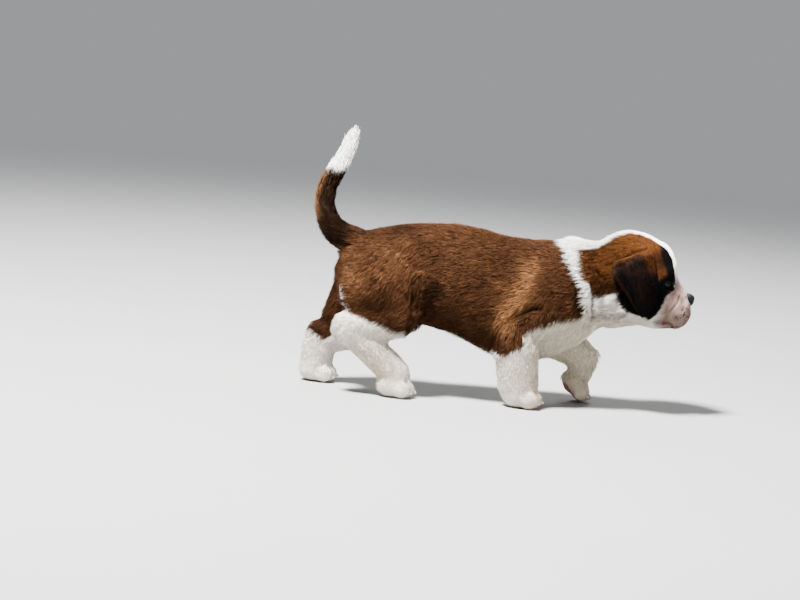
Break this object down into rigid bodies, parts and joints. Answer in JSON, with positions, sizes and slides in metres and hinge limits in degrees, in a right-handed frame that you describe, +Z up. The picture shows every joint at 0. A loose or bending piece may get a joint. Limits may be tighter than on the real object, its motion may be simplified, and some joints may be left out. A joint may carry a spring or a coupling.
{
  "type": "saint bernard puppy figure",
  "caption": "Still, life-size Saint Bernard puppy in mid step: heavy head with hanging ears, round body, short thick legs, raised tail and a dense brown and white coat.",
  "frame": {"origin": "on the floor, under the middle of the bounding box", "axes": "+X ahead, the way the nose points; +Y to the puppy's left; +Z up"},
  "size_m": [0.5479, 0.1463, 0.3694],
  "materials": {
    "coat_brown": "dense soft puppy coat, red-brown with dark tips",
    "coat_dark": "short dark brown coat of ears and tail",
    "coat_white": "dense soft white coat",
    "coat_muzzle": "very short white coat with pink skin showing through",
    "nose_leather": "moist, finely pebbled black skin",
    "eye": "wet, very dark brown",
    "claw_horn": "smooth horn"
  },
  "bodies": {
    "root": {"trunk": "coat_brown", "neck": "coat_white", "head": "coat_brown", "muzzle": "coat_muzzle", "lower_jaw": "coat_muzzle", "nose": "nose_leather", "eye_right": "eye", "eye_left": "eye", "ear_right": "coat_dark", "ear_left": "coat_dark", "tail_base": "coat_dark", "tail_middle": "coat_dark", "tail_tip": "coat_white", "foreleg_right_shoulder": "coat_brown", "foreleg_right_forearm": "coat_white", "foreleg_right_paw": "coat_white", "foreleg_right_claw_1": "claw_horn", "foreleg_right_claw_2": "claw_horn", "foreleg_right_claw_3": "claw_horn", "foreleg_right_claw_4": "claw_horn", "foreleg_left_shoulder": "coat_brown", "foreleg_left_forearm": "coat_white", "foreleg_left_paw": "coat_white", "foreleg_left_claw_1": "claw_horn", "foreleg_left_claw_2": "claw_horn", "foreleg_left_claw_3": "claw_horn", "foreleg_left_claw_4": "claw_horn", "hindleg_right_thigh": "coat_brown", "hindleg_right_gaskin": "coat_white", "hindleg_right_pastern": "coat_white", "hindleg_right_paw": "coat_white", "hindleg_right_claw_1": "claw_horn", "hindleg_right_claw_2": "claw_horn", "hindleg_right_claw_3": "claw_horn", "hindleg_right_claw_4": "claw_horn", "hindleg_left_thigh": "coat_brown", "hindleg_left_gaskin": "coat_white", "hindleg_left_pastern": "coat_white", "hindleg_left_paw": "coat_white", "hindleg_left_claw_1": "claw_horn", "hindleg_left_claw_2": "claw_horn", "hindleg_left_claw_3": "claw_horn", "hindleg_left_claw_4": "claw_horn"}
  },
  "joints": []
}
